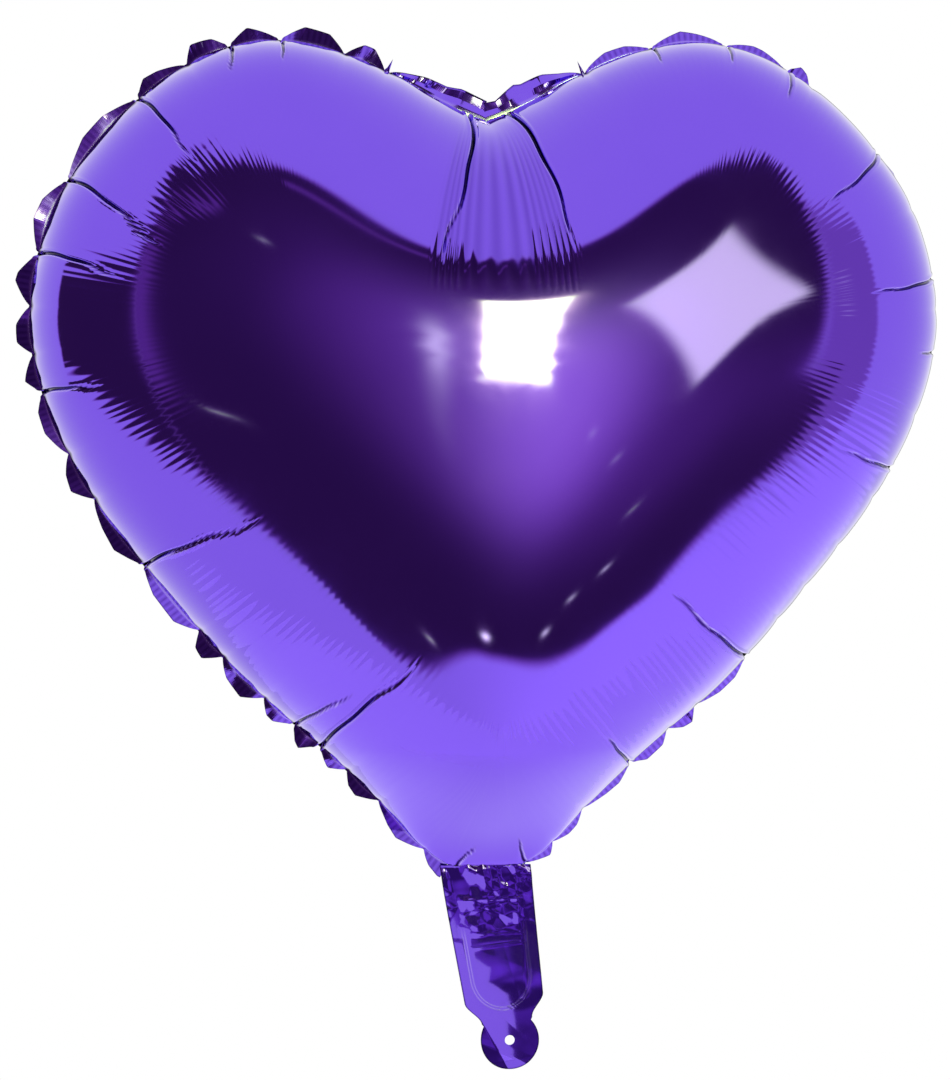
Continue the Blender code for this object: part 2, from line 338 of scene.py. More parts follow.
def make_skin(name, heart, side, creases, seed):
    """One foil skin: the smooth blown-up shape, then its pinches, creases and pleats."""
    rng = np.random.default_rng(seed)
    lines = []
    for start, end, deep in creases:
        at = heart.nearest_along(np.array(start) * MM)
        lines.append((at, heart.edge_at(np.array([at]))[0][0], np.array(end) * MM, deep))
    pinches = pinch_places(heart, [line[0] for line in lines], rng)
    along = heart.columns([line[0] for line in lines])
    depths, rows = heart.rings(along)
    share = depths / heart.deepest
    flat_height = HALF_THICKNESS * profile(share)
    tip = tip_share(rows[:, :, 1])
    found = heart.depth(rows.reshape(-1, 2)).reshape(tip.shape) / heart.deepest
    exact = smooth((depths[:, None] - 8 * MM) / (8 * MM))
    height = inflated_height(rows, share[:, None] + exact * (found - share[:, None]))
    inward = np.gradient(rows, axis=0)
    inward[0] = inward[1]
    inward /= np.linalg.norm(inward, axis=2)[:, :, None] + 1e-12
    rise = np.gradient(height, axis=0)
    run = np.linalg.norm(np.gradient(rows, axis=0), axis=2)
    steep = np.arctan2(rise, run)
    steep[0] = math.pi / 2 * tip_share(rows[0, :, 1]) ** 0.25
    out = np.dstack(
        [-np.sin(steep) * inward[:, :, 0], side * np.cos(steep), -np.sin(steep) * inward[:, :, 1]]
    )
    lift = np.zeros(height.shape)
    walked = np.concatenate([[0], np.cumsum(np.hypot(np.diff(depths), np.diff(flat_height)))])
    lift += pinch_lift(heart, along, walked, pinches, tip)
    pleats, shadow = pleat_lift(heart, along, walked, rng)
    # The pleats are deeper down the right side.
    rim_x, rim_z = rows[0, :, 0], rows[0, :, 1]
    lower_right = smooth(rim_x / (60 * MM)) * smooth((210 * MM - rim_z) / (30 * MM))
    pleats = pleats * (1 + 0.9 * lower_right)[None]
    lift += pleats * tip
    # Painted shade in the creases and the pleats' gathers, and a painted highlight along one edge of each
    # crease.
    worn = np.zeros(height.shape)
    for _at, start, end, deep in lines:
        valley, dark, edge = crease(rows, start, end, deep)
        lift += valley * tip**0.5
        shadow = np.maximum(shadow, dark)
        worn = np.maximum(worn, edge)
    room = np.array([neck_room(row) for row in rows])
    base = np.dstack([rows[:, :, 0], side * (WELDED_OFFSET + FILM + height + room), rows[:, :, 1]])
    grid = base + out * lift[:, :, None]
    least = side * (WELDED_OFFSET + 0.02 * MM)
    grid[:, :, 1] = np.where(side * grid[:, :, 1] < side * least, least, grid[:, :, 1])

    inner, inner_counts = inner_rings(heart, rows[-1], side)
    skin = make_mesh(name, np.vstack(list(grid) + inner), stitched([COLUMNS] * RINGS + inner_counts), side)
    add_shades(skin, shadow=shadow, worn=worn)
    return skin, grid[0], along, pinches


def inner_rings(heart, ring, side):
    """The middle of a skin: rings with fewer and fewer points that close in on its centre."""
    vertices, counts = [], []
    for k in range(1, INNER_RINGS):
        keep = COLUMNS >> min((k + 1) // 2, 5)
        ring = ring[:: len(ring) // keep]
        part = 1 - math.sin(k / INNER_RINGS * math.pi / 2)
        points = CENTRE + (ring - CENTRE) * part
        ring_height = inflated_height(points, heart.depth(points) / heart.deepest)
        vertices.append(
            np.column_stack([points[:, 0], side * (WELDED_OFFSET + FILM + ring_height), points[:, 1]])
        )
        counts.append(keep)
    top = side * (WELDED_OFFSET + FILM + inflated_height(CENTRE, 1.0))
    vertices.append(np.array([[CENTRE[0], top, CENTRE[1]]]))
    counts.append(1)
    return vertices, counts


def pinch_places(heart, taken, rng):
    """Where the weld is drawn in between its arches: at each long crease and about every 20 mm between."""
    places = sorted(taken)
    count = round(heart.perimeter / (21 * MM))
    for k in range(count):
        at = (k + rng.uniform(-0.22, 0.22)) / count * heart.perimeter
        nearest = min(heart.apart(at, other) for other in taken)
        if nearest > 12 * MM and NOTCH_BAND < at < heart.perimeter - NOTCH_BAND:
            places.append(at % heart.perimeter)
    return sorted(places)


def pinch_lift(heart, along, walked, pinches, tip):
    """The film arches out between the pinched places, most of all close to the weld."""
    gap = np.full(len(along), heart.perimeter)
    for at in pinches:
        gap = np.minimum(gap, heart.apart(along, at))
    drawn_in = np.exp(-gap / (2.6 * MM))
    fade = np.exp(-walked / (13 * MM))
    return -1.25 * MM * drawn_in[None] * fade[:, None] * tip**0.3


def pleat_lift(heart, along, walked, rng):
    """Fine pleats that run straight in from the weld, strongest where the film turns to face forward.

    It gives their lift, and the shadow in the deeper gathers below the notch.
    """
    pitch = 3.5 * MM
    count = round(heart.perimeter / pitch)
    phase = along / heart.perimeter * count
    bends = rng.uniform(-0.3, 0.3, count + 1)
    bends[-1] = bends[0]
    phase = phase + np.interp(phase, np.arange(count + 1), bends)
    strength = rng.uniform(0.3, 1.0, count + 1)
    strength[-1] = strength[0]
    wave = np.cos(2 * math.pi * phase) * np.interp(phase, np.arange(count + 1), strength)
    zone = smooth((walked - 18 * MM) / (14 * MM)) * (1 - smooth((walked - 62 * MM) / (22 * MM)))
    signed = heart.from_notch(along)
    elsewhere = smooth((np.abs(signed) - 10 * MM) / (3 * MM))
    lift = 0.04 * MM * zone[:, None] * (wave * elsewhere)[None]
    notch_pitch = 1.55 * MM
    places = np.linspace(-13, 13, 14) * MM
    bends = np.interp(signed, places, rng.uniform(-0.22, 0.22, len(places)))
    sizes = np.interp(signed, places, rng.uniform(0.45, 1, len(places)))
    gathers = np.cos(2 * math.pi * (signed / notch_pitch + bends)) * sizes
    panel = 1 - smooth((np.abs(signed) - 9 * MM) / (3 * MM))
    first, last = walked[-1] * 0.16, walked[-1] * 0.97
    deeper = smooth((walked - first) / (40 * MM)) ** 1.5 * (1 - smooth((walked - last + 5 * MM) / (5 * MM)))
    valleys = 0.30 * deeper[:, None] * ((0.5 - 0.5 * gathers) * panel)[None]
    return lift + 0.28 * MM * deeper[:, None] * (gathers * panel)[None], valleys


def stitched(counts):
    """Faces that join rings of these counts, each count the same as the last or a divisor of it."""
    faces = []
    first = 0
    for count, following in zip(counts, counts[1:]):
        nxt = first + count
        if following == 1:
            faces += [(first + i, first + (i + 1) % count, nxt) for i in range(count)]
        elif following == count:
            for i in range(count):
                j = (i + 1) % count
                faces.append((first + i, first + j, nxt + j, nxt + i))
        else:
            ratio = count // following
            for i in range(following):
                j = (i + 1) % following
                outer = [first + (i * ratio + k) % count for k in range(ratio + 1)]
                half = ratio // 2
                faces += [(a, b, nxt + i) for a, b in zip(outer[:half], outer[1: half + 1])]
                faces.append((outer[half], nxt + j, nxt + i))
                faces += [(a, b, nxt + j) for a, b in zip(outer[half:], outer[half + 1:])]
        first = nxt
    return faces


def add_shades(piece, **shades):
    """Point attributes for the material, given for the first points of the mesh and 0 on the rest."""
    for word, values in shades.items():
        attribute = piece.data.attributes.new(word, "FLOAT", "POINT")
        whole = np.zeros(len(piece.data.vertices), np.float32)
        whole[: values.size] = values.ravel()
        attribute.data.foreach_set("value", whole)


def make_mesh(name, vertices, faces, side=0, smooth_shaded=True):
    """A new object. With a side of -1 or 1, its faces are turned to look to the front or the back."""
    mesh = bpy.data.meshes.new(name)
    mesh.from_pydata(vertices.tolist(), [], faces)
    mesh.update()
    piece = bpy.data.objects.new(name, mesh)
    bpy.context.scene.collection.objects.link(piece)
    if side:
        facing = sum(face.normal.y * face.area for face in mesh.polygons)
        if facing * side < 0:
            mesh.flip_normals()
    if smooth_shaded:
        mesh.shade_smooth()
    return piece


def only_used(faces):
    """The points that the faces use, and the faces with their points counted afresh."""
    used = sorted({v for face in faces for v in face})
    new = {v: i for i, v in enumerate(used)}
    return used, [tuple(new[v] for v in face) for face in faces]


def solidify(piece, thickness, offset):
    film = piece.modifiers.new("film", "SOLIDIFY")
    film.thickness = thickness
    film.offset = offset
    bpy.context.view_layer.objects.active = piece
    bpy.ops.object.modifier_apply(modifier=film.name)


class Strip:
    """The neck, tail and tab as one film, in distances down its centre line and across it."""

    NECK_END, WAIST, TAB_CENTRE = 10.6 * MM, 63.5 * MM, 71.5 * MM
    TAB_RADIUS, HOLE_RADIUS = 12 * MM, 2.05 * MM
    ACROSS, STEP = 97, 0.45 * MM

    def half_width(self, along):
        along = np.asarray(along, float)
        taper = np.clip(along / (54 * MM), 0, 1)
        shoulder = smooth((along - 54 * MM) / (self.WAIST - 54 * MM))
        return (18.6 - 2.4 * taper - 5.8 * shoulder) * MM

    def place(self, across, along, offset):
        """Points in the frame for places on the strip, offset out of its plane."""
        turn = LEAN * smooth(along / self.NECK_END)
        x = across * np.cos(turn) + along * math.sin(LEAN)
        z = across * np.sin(turn) - along * math.cos(LEAN)
        return np.stack(np.broadcast_arrays(x, offset, z), axis=-1)


strip = Strip()


def folded(across, along, rng, count, pitch, slope):
    """Crumpled film: flat facets that meet in sharp lines, from triangle waves in a few directions."""
    lift = np.zeros(np.broadcast(across, along).shape)
    for _ in range(count):
        heading = rng.uniform(0, math.pi)
        size = pitch * rng.uniform(0.7, 1.6)
        phase = (across * math.cos(heading) + along * math.sin(heading)) / size + rng.uniform(0, 1)
        lift += (2 * np.abs(phase % 1 - 0.5) - 0.5) * size * slope / 2
    return lift


def film_lift(across, along, rng):
    """How the film of the neck, tail and tab stands off its plane, out from the side that it is on."""
    half = strip.half_width(along)
    inside = half - WELD_MARGIN - np.abs(across)
    pocket = smooth(inside / (3.2 * MM)) * smooth((62 * MM - along) / (18 * MM))
    lift = 0.4 * MM * pocket
    gathered = np.exp(-np.maximum(along + 1 * MM, 0) / (8 * MM))
    pleats = np.abs((across / (7.6 * MM) + 0.2 + 0.25 * np.sin(across / (5.5 * MM))) % 1 - 0.5) * 4 - 1
    lift += 0.35 * MM * gathered * pleats
    crumpled = smooth((30 * MM - along) / (8 * MM)) * smooth((along + 4 * MM) / (5 * MM))
    lift += crumpled * folded(across, along, rng, count=4, pitch=13 * MM, slope=0.075)
    lift += crumpled * folded(across, along, rng, count=2, pitch=6.5 * MM, slope=0.035)
    for at, lean, deep in TAIL_CREASES:
        gap = along - at * MM - lean * across
        lift += deep * MM * np.exp(-np.abs(gap) / (0.6 * MM)) * smooth(inside / (3 * MM))
    lift += folded(across, along, rng, count=2, pitch=30 * MM, slope=0.012)
    # Above the tip the film stays clear of the valve's flaps.
    least = -0.02 * MM + 0.32 * MM * smooth(-along / (0.4 * MM))
    return np.maximum(lift, least)


def weld_lines(across, along):
    """The tail's double weld line, a little inside its edge and round its lower end."""
    half = strip.half_width(np.minimum(along, 50 * MM))
    corner, corner_start = 13 * MM, 46 * MM
    line_width, line_gap = 0.22 * MM, 1.1 * MM
    over = np.maximum(along - corner_start, 0)
    beyond = np.maximum(np.abs(across) - (half - WELD_MARGIN - corner), 0)
    straight = half - WELD_MARGIN - np.abs(across)
    inset = np.where(along > corner_start, corner - np.hypot(beyond, over), straight)
    lines = np.exp(-((inset / line_width) ** 2)) + np.exp(-(((inset - line_gap) / line_width) ** 2))
    return lines * smooth((along - 22 * MM) / (6 * MM)) * (along < 62 * MM)


def film_mesh(name, side, across, along, faces, seed):
    """One foil of the strip, with its weld lines painted paler and rougher, and a painted shade along its
    cut edge.
    """
    rng = np.random.default_rng(seed)
    lines = weld_lines(across, along)
    lift = film_lift(across, along, rng) - 0.04 * MM * lines
    y = side * (WELDED_OFFSET + FILM + lift) + bow(across, along)
    piece = make_mesh(name, strip.place(across, along, y), faces, side)
    from_side = strip.half_width(np.minimum(along, strip.WAIST)) - np.abs(across)
    from_rim = strip.TAB_RADIUS - np.hypot(across, along - strip.TAB_CENTRE)
    on_tab, edge_width = along > 65 * MM, 0.35 * MM
    edge = np.where(on_tab, from_rim, from_side) / edge_width
    # The weld lines are painted paler, and painted shade darkens the cut edge.
    add_shades(piece, worn=np.clip(lines * 0.4, 0, 1), shadow=np.exp(-(edge**2)))
    thicken(piece)
    return piece


def bow(across, along):
    """The whole strip's own gentle bend out of its plane."""
    wave = 0.7 * MM * np.sin(np.clip(along / (80 * MM), 0, 1) * 2 * math.pi)
    # The tab's lower left corner is bent forward along one crease, and a second one crosses below the hole.
    low = along - strip.TAB_CENTRE
    corner = np.maximum(-0.93 * across + 0.36 * low - 6.4 * MM, 0) * (low > -9 * MM)
    below = np.maximum(-0.55 * across + 0.83 * low - 6.0 * MM, 0)
    return wave * smooth(along / (8 * MM)) - 0.42 * corner + 0.16 * below


def valve_film(name, side, start, end):
    """A stretch of one of the valve's two films, flat between the foils."""
    rows, columns = round((end - start) / (1 * MM)) + 1, 25
    along = np.repeat(np.linspace(start, end, rows), columns)
    across = np.tile(np.linspace(-1, 1, columns), rows) * VALVE_HALF_WIDTH
    y = side * (WELDED_OFFSET + 0.02 * MM) + bow(across, along)
    piece = make_mesh(name, strip.place(across, along, y), grid_faces(rows, columns), side)
    thicken(piece)
    return piece


def thicken(piece):
    """A thin closed film from one surface, thickened inwards."""
    solidify(piece, FOIL_SKIN, -1)
    piece.data.set_sharp_from_angle(angle=math.radians(60))


def grid_film(name, side, start, end, seed):
    """A straight stretch of the strip, from start to end down its centre line."""
    rows = round((end - start) / strip.STEP) + 1
    along = np.repeat(np.linspace(start, end, rows), strip.ACROSS)
    across = np.tile(np.linspace(-1, 1, strip.ACROSS), rows) * strip.half_width(along)
    return film_mesh(name, side, across, along, grid_faces(rows, strip.ACROSS), seed)


def grid_faces(rows, columns):
    return [
        (r * columns + c, r * columns + c + 1, (r + 1) * columns + c + 1, (r + 1) * columns + c)
        for r in range(rows - 1)
        for c in range(columns - 1)
    ]


def end_film(name, side, start, seed):
    """The lower tail, the waist and the round tab with its hole, as one film."""
    rows = round((strip.WAIST - start) / strip.STEP) + 1
    along = np.repeat(np.linspace(start, strip.WAIST, rows), strip.ACROSS)
    across = np.tile(np.linspace(-1, 1, strip.ACROSS), rows) * strip.half_width(along)
    faces = grid_faces(rows, strip.ACROSS)
    first = (rows - 1) * strip.ACROSS
    top = strip.TAB_CENTRE - strip.WAIST
    chord = across[first:]
    start_angle = math.atan2(top, strip.half_width(strip.WAIST))
    angles = np.linspace(-start_angle, math.pi + start_angle, 132)[1:-1]
    rim = np.column_stack([np.cos(angles), -np.sin(angles)]) * strip.TAB_RADIUS
    # Round the tab clockwise from the waist's right end, then back along the waist.
    outer = np.vstack([rim, np.column_stack([chord, np.full(strip.ACROSS, top)])])
    bearing = np.arctan2(outer[:, 1], outer[:, 0])
    inner = np.column_stack([np.cos(bearing), np.sin(bearing)]) * strip.HOLE_RADIUS
    count = len(outer)
    rings = [outer + (inner - outer) * t for t in np.linspace(0, 1, 22)]
    base = len(across)
    across = np.concatenate([across] + [ring[:, 0] for ring in rings])
    along = np.concatenate([along] + [strip.TAB_CENTRE - ring[:, 1] for ring in rings])
    for k in range(len(rings) - 1):
        for i in range(count):
            j = (i + 1) % count
            faces.append((base + k * count + i, base + k * count + j,
                          base + (k + 1) * count + j, base + (k + 1) * count + i))
    same = {base + len(rim) + c: first + c for c in range(strip.ACROSS)}
    faces = [tuple(same.get(v, v) for v in face) for face in faces]
    used, faces = only_used(faces)
    return film_mesh(name, side, across[used], along[used], faces, seed)


def make_flange(heart, rim, along, pinches):
    """The welded margin outside the skins, in flat facets between the pinched places."""
    rng = np.random.default_rng(11)
    start, inward = heart.edge_at(along)
    outward = -inward
    signed = heart.from_notch(along)
    in_band = np.abs(signed) < NOTCH_BAND
    width, tilt = flange_facets(heart, start, along, pinches, rng)
    width = np.where(in_band, np.interp(signed, np.array(BAND_PLACES) * MM, BAND_WIDTHS) * MM, width)
    folds = np.linspace(-1, 1, 12) * NOTCH_BAND
    leans = np.interp(signed, folds, 16 + rng.uniform(-15, 15, len(folds)))
    tilt = np.radians(np.where(in_band, leans, tilt))
    bulge = np.where(in_band, np.interp(signed, folds, rng.uniform(-1.6, 1.6, len(folds)) * MM), 0)
    # The band runs straight across the places where the skins are drawn in.
    rim = rim.copy()
    unpinched = smooth((NOTCH_BAND - np.abs(signed)) / (9 * MM))[:, None]
    rim[:, [0, 2]] += unpinched * (start - rim[:, [0, 2]])
    # The weld's ribs are painted as stripes of shade, with no relief.
    rib_shade = (0.5 + 0.5 * np.cos(2 * math.pi * along / (2.4 * MM))) * ~in_band
    # The pale line along the rim is a painted highlight, strongest below the notch.
    low_notch = np.exp(-((signed / (11 * MM)) ** 4))
    line = 0.45 + 0.55 * low_notch
    none, whole = np.zeros(len(along)), np.ones(len(along))
    # Rows of points out from the rim: (share of the width, painted shadow, painted highlight).
    across = [
        (-0.3, none, line),
        (0.0, none, line),
        (0.09, none, line * (0.5 + 0.5 * low_notch)),
        (0.18, 0.35 * rib_shade, none),
        (0.5, 0.45 * rib_shade, none),
        (0.9, 0.35 * rib_shade, none),
        (1.0, 0.9 * whole, none),
    ]
    rows = []
    for share, _shadow, _worn in across:
        reach = share * width
        rows.append(np.column_stack([
            rim[:, 0] + outward[:, 0] * reach * np.cos(tilt),
            np.abs(reach) * np.sin(tilt) * (share > 0) + bulge * (share == 0.5),
            rim[:, 2] + outward[:, 1] * reach * np.cos(tilt),
        ]))
    shown, count = flange_shown(start), len(along)
    faces = []
    for r in range(len(rows) - 1):
        for i in range(count):
            j = (i + 1) % count
            if shown[i] and shown[j]:
                faces.append((r * count + i, r * count + j, (r + 1) * count + j, (r + 1) * count + i))
    used, faces = only_used(faces)
    shadow, worn = (np.concatenate([row[k] for row in across]) for k in (1, 2))
    flange = make_mesh("weld_flange", np.vstack(rows)[used], faces, -1, smooth_shaded=False)
    add_shades(flange, shadow=shadow[used], worn=worn[used])
    solidify(flange, FLANGE_SKIN, 0)
    return flange


def flange_facets(heart, start, along, pinches, rng):
    """The flange's width, and its lean in degrees, in flat facets between the pinched places."""
    kept = [at for at in pinches if NOTCH_BAND - 1 * MM < at < heart.perimeter - NOTCH_BAND + 1 * MM]
    kept = sorted(kept + [NOTCH_BAND, heart.perimeter - NOTCH_BAND])
    edges = np.array(kept + [kept[0] + heart.perimeter])
    width = np.zeros(len(along))
    tilt = np.zeros(len(along))
    for first, last in zip(edges, edges[1:]):
        middle = start[np.argmin(np.abs(along - (first + last) / 2 % heart.perimeter))]
        gap = (along - first) % heart.perimeter
        here = gap <= last - first
        t = gap[here] / (last - first)
        rise, fall = rng.uniform(0.26, 0.46), rng.uniform(0.26, 0.46)
        peak = flange_width(middle) * rng.uniform(0.75, 1.15)
        shoulder = rng.uniform(0.7, 1.0)
        corners = [0, rise, 1 - fall, 1]
        width[here] = np.interp(t, corners, [0.12 * peak, peak, peak * shoulder, 0.12 * peak])
        lean = flange_tilt(middle) + rng.uniform(-9, 9)
        tilt[here] = lean + np.interp(t, corners, rng.uniform(-9, 9, 4))
    return width, tilt


def flange_width(point):
    """How wide a facet of the flange is near this point: widest by the notch, narrowest on the right."""
    x, z = point
    if abs(x) < 40 * MM and z > 290 * MM:
        return 7.5 * MM
    return 5.9 * MM if x < 0 else 4.6 * MM


def flange_tilt(point):
    """How far the flange leans back from the weld's plane, in degrees."""
    x, z = point
    if abs(x) < 46 * MM and z > 290 * MM:
        return 8
    if x < 0:
        return 14
    low = float(smooth((z - 70 * MM) / (20 * MM))) * (1 - float(smooth((z - 300 * MM) / (25 * MM))))
    return 30 + 52 * low


def flange_shown(points):
    """The flange ends where the neck begins."""
    return ~((np.abs(points[:, 0]) < NECK_HALF_WIDTH - WELD_MARGIN + 1 * MM) & (points[:, 1] < 5 * MM))


# ---- materials, sky and lights ----------------------------------------------------------------------


class Field:
    """A number that varies over a surface or the sky, kept as the output of a chain of Math nodes."""

    def __init__(self, tree, socket):
        self.tree = tree
        self.socket = socket

    def math(self, operation, *others):
        node = self.tree.nodes.new("ShaderNodeMath")
        node.operation = operation
        for slot, value in zip(node.inputs, (self, *others)):
            if isinstance(value, Field):
                self.tree.links.new(value.socket, slot)
            else:
                slot.default_value = value
        return Field(self.tree, node.outputs[0])

    def __add__(self, other):
        return self.math("ADD", other)

    def __sub__(self, other):
        return self.math("SUBTRACT", other)

    def __mul__(self, other):
        return self.math("MULTIPLY", other)

    def above(self, start, end):
        """0 up to start, 1 from end on, and smooth between; start may be the higher of the two."""
        node = self.tree.nodes.new("ShaderNodeMapRange")
        node.interpolation_type = "SMOOTHSTEP"
        self.tree.links.new(self.socket, node.inputs["Value"])
        if start <= end:
            limits = (start, end, 0, 1)
        else:
            limits = (end, start, 1, 0)
        for slot, value in zip(("From Min", "From Max", "To Min", "To Max"), limits):
            node.inputs[slot].default_value = value
        return Field(self.tree, node.outputs["Result"])

    def between(self, low, high, soft):
        return self.above(low - soft, low + soft) * self.above(high + soft, high - soft)

    def hump(self, centre, width):
        """A bell of height 1."""
        away = (self - centre) * (1 / width)
        return (away * away * -1.0).math("EXPONENT")


def patch(azimuth, elevation, centre, size, turn, soft):
    """A soft-edged rectangle in the sky, in degrees, turned about its own centre."""
    c, s = math.cos(math.radians(turn)), math.sin(math.radians(turn))
    across = (azimuth - centre[0]) * c + (elevation - centre[1]) * s
    upward = (elevation - centre[1]) * c - (azimuth - centre[0]) * s
    return across.between(-size[0] / 2, size[0] / 2, soft) * upward.between(-size[1] / 2, size[1] / 2, soft)


def make_sky():
    """A white tent round the balloon, with a dark opening in front and soft lamps in it.

    Azimuths are in degrees from the front, and grow to the right. Elevations are in degrees too.
    """
    world = bpy.data.worlds.new("studio")
    bpy.context.scene.world = world
    world.use_nodes = True
    tree = world.node_tree
    tree.nodes.clear()
    place = tree.nodes.new("ShaderNodeTexCoord")
    split = tree.nodes.new("ShaderNodeSeparateXYZ")
    tree.links.new(place.outputs["Generated"], split.inputs[0])
    x, y, z = (Field(tree, split.outputs[k]) for k in range(3))
    to_degrees = 180 / math.pi
    azimuth = x.math("ARCTAN2", y * -1.0) * to_degrees
    elevation = z.math("ARCSINE") * to_degrees

    # The opening's upper and lower edges change height round the balloon.
    top = azimuth.hump(-46, 13) * 6 + azimuth.above(41, 52) * -14 + 34.5
    bottom = azimuth.above(-2, -35.5) * -9 + azimuth.above(-35.8, -38) * 9 + azimuth.above(4, 36) * -2.5
    bottom = bottom + azimuth.above(39, 51) * 3 - 27.3
    # Low on the right, the opening reaches further round.
    lower_right_reach = elevation.above(-6, -12) * azimuth.above(0, 10) * 5
    opening = (azimuth - lower_right_reach).between(-38, 43, 1.2)
    opening = opening * (elevation - top).above(1.0, -1.0) * (elevation - bottom).above(-1.2, 1.2)
    corner = azimuth.between(-46, -36, 1.2) * elevation.between(15, 40, 1.5)
    opening = opening.math("MAXIMUM", corner * (elevation + azimuth * 2.55 + 76).above(-3, 3))
    left_floor = azimuth.above(-44, -104) * 10 - 24
    left = azimuth.between(-100, -37, 1.5) * elevation.above(15, 12)
    left = left * (elevation - left_floor).above(-1.5, 1.5)
    right = azimuth.between(43, 60, 1.5) * elevation.between(-19, 22, 1.5) * 0.5
    dark = opening.math("MAXIMUM", left).math("MAXIMUM", right)

    glow = azimuth.hump(13, 11) * elevation.hump(1, 10) * 0.6
    glow = glow + azimuth.hump(2, 16) * elevation.hump(8, 13) * 0.28
    glow = glow + azimuth.hump(31, 14) * elevation.hump(-8, 9) * 0.11
    streaks = patch(azimuth, elevation, (-31, 24.5), (15, 2.2), -14, 1.2)
    streaks = streaks + patch(azimuth, elevation, (-2, 31), (16, 1.0), 0, 0.6)
    bounce = azimuth.hump(-36.0, 2.6) * elevation.between(-12, 18, 4)
    inside = glow + streaks * 0.22 + bounce * 0.22 + 0.07
    lower_right = x.above(-0.45, 0.65) * elevation.above(-18, -26)
    tent = lower_right * 0.32 + 1.0
    behind = y.above(0.90, 0.98) * elevation.between(-17, 21, 5) * 0.75
    room = dark * inside + (dark * -1.0 + 1.0) * tent * (behind * -1.0 + 1.0)

    softbox = patch(azimuth, elevation, (8.1, 9.8), (7.8, 16.2), -4, 0.5)
    halo = azimuth.hump(11, 10) * elevation.hump(6, 10)
    beside = azimuth.hump(-1, 1.3) * elevation.hump(6, 4)
    pale = patch(azimuth, elevation, (29.4, 9.2), (14, 18.5), 38, 0.9)
    pale = pale * (patch(azimuth, elevation, (37.0, 17.5), (2.2, 6), 20, 0.8) * -0.6 + 1.0)
    spots = azimuth.hump(-0.2, 1.5) * elevation.hump(-24.3, 0.5) * 1.6
    for at, height, size, strength in SMALL_LAMPS:
        spots = spots + azimuth.hump(at, size) * elevation.hump(height, size * 0.4) * strength
    neutral = room + pale * 0.6 + spots + beside * 0.4
    balanced = softbox * 2.2 + halo * 0.065 + pale * 0.40 + spots * 0.5 + beside * 0.35
    colour = tree.nodes.new("ShaderNodeCombineColor")
    # The lamps' light is balanced so that the violet film reflects it as white.
    for slot, dark_tint, lamp_tint in zip(colour.inputs, (0.2, -0.45, 0.05), (5.2, 11.0, 1.08)):
        channel = neutral * (dark * dark_tint + 1.0) + balanced * lamp_tint
        tree.links.new(channel.socket, slot)

    seen = tree.nodes.new("ShaderNodeLightPath")
    background = tree.nodes.new("ShaderNodeBackground")
    white = tree.nodes.new("ShaderNodeBackground")
    white.inputs["Color"].default_value = (1, 1, 1, 1)
    mix = tree.nodes.new("ShaderNodeMixShader")
    out = tree.nodes.new("ShaderNodeOutputWorld")
    tree.links.new(colour.outputs[0], background.inputs["Color"])
    tree.links.new(seen.outputs["Is Camera Ray"], mix.inputs[0])
    tree.links.new(background.outputs[0], mix.inputs[1])
    tree.links.new(white.outputs[0], mix.inputs[2])
    tree.links.new(mix.outputs[0], out.inputs["Surface"])


def new_material(name):
    material = bpy.data.materials.new(name)
    material.use_nodes = True
    return material, material.node_tree, material.node_tree.nodes["Principled BSDF"]


def clouds(tree, place, scale, detail=2):
    """Soft noise between 0 and 1 over the places that a socket gives."""
    node = tree.nodes.new("ShaderNodeTexNoise")
    node.inputs["Scale"].default_value = scale
    node.inputs["Detail"].default_value = detail
    tree.links.new(place, node.inputs["Vector"])
    return Field(tree, node.outputs["Fac"])


def make_foil():
    """Violet metallised film with a clear outer layer."""
    material, tree, shader = new_material("violet metallised film")
    shader.inputs["Metallic"].default_value = 1.0
    shader.inputs["Coat Roughness"].default_value = 0.03
    shader.inputs["Coat IOR"].default_value = 1.5
    place = tree.nodes.new("ShaderNodeTexCoord")
    cloudy = clouds(tree, place.outputs["Object"], scale=28, detail=5)
    roughness = cloudy.above(0.3, 0.8) * 0.05 + 0.05
    shadow = attribute_field(tree, "shadow")
    worn = attribute_field(tree, "worn")
    roughness = roughness + worn * 0.25
    tree.links.new(roughness.socket, shader.inputs["Roughness"])
    ramp = tree.nodes.new("ShaderNodeMix")
    ramp.data_type = "RGBA"
    ramp.inputs["A"].default_value = (0.158, 0.050, 0.76, 1)
    ramp.inputs["B"].default_value = (0.178, 0.062, 0.79, 1)
    tree.links.new(cloudy.socket, ramp.inputs["Factor"])
    coat = shadow.above(0.6, 0.0)
    tree.links.new(coat.socket, shader.inputs["Coat Weight"])
    # Painted shade: the shadow attribute darkens the colour in creases, pleat valleys, along the flange's
    # ribs and along cut edges.
    darker = mix_colours(tree, shadow * 0.97, ramp.outputs["Result"], (0.006, 0.002, 0.030, 1))
    # Painted highlights: the other attribute paints pale lines along crease edges and the flange's inner
    # edge; on the tail it paints the weld lines paler.
    paler = mix_colours(tree, worn * 0.8, darker, (0.58, 0.48, 0.90, 1))
    tree.links.new(paler, shader.inputs["Base Color"])
    return material


def make_valve_material():
    """Thin clear film, faintly clouded."""
    material, tree, shader = new_material("clear valve film")
    shader.inputs["Base Color"].default_value = (0.78, 0.80, 0.88, 1)
    shader.inputs["Alpha"].default_value = 0.55
    place = tree.nodes.new("ShaderNodeTexCoord")
    roughness = clouds(tree, place.outputs["Object"], scale=160).above(0.3, 0.7) * 0.2 + 0.15
    tree.links.new(roughness.socket, shader.inputs["Roughness"])
    return material


def attribute_field(tree, name):
    node = tree.nodes.new("ShaderNodeAttribute")
    node.attribute_name = name
    return Field(tree, node.outputs["Fac"])


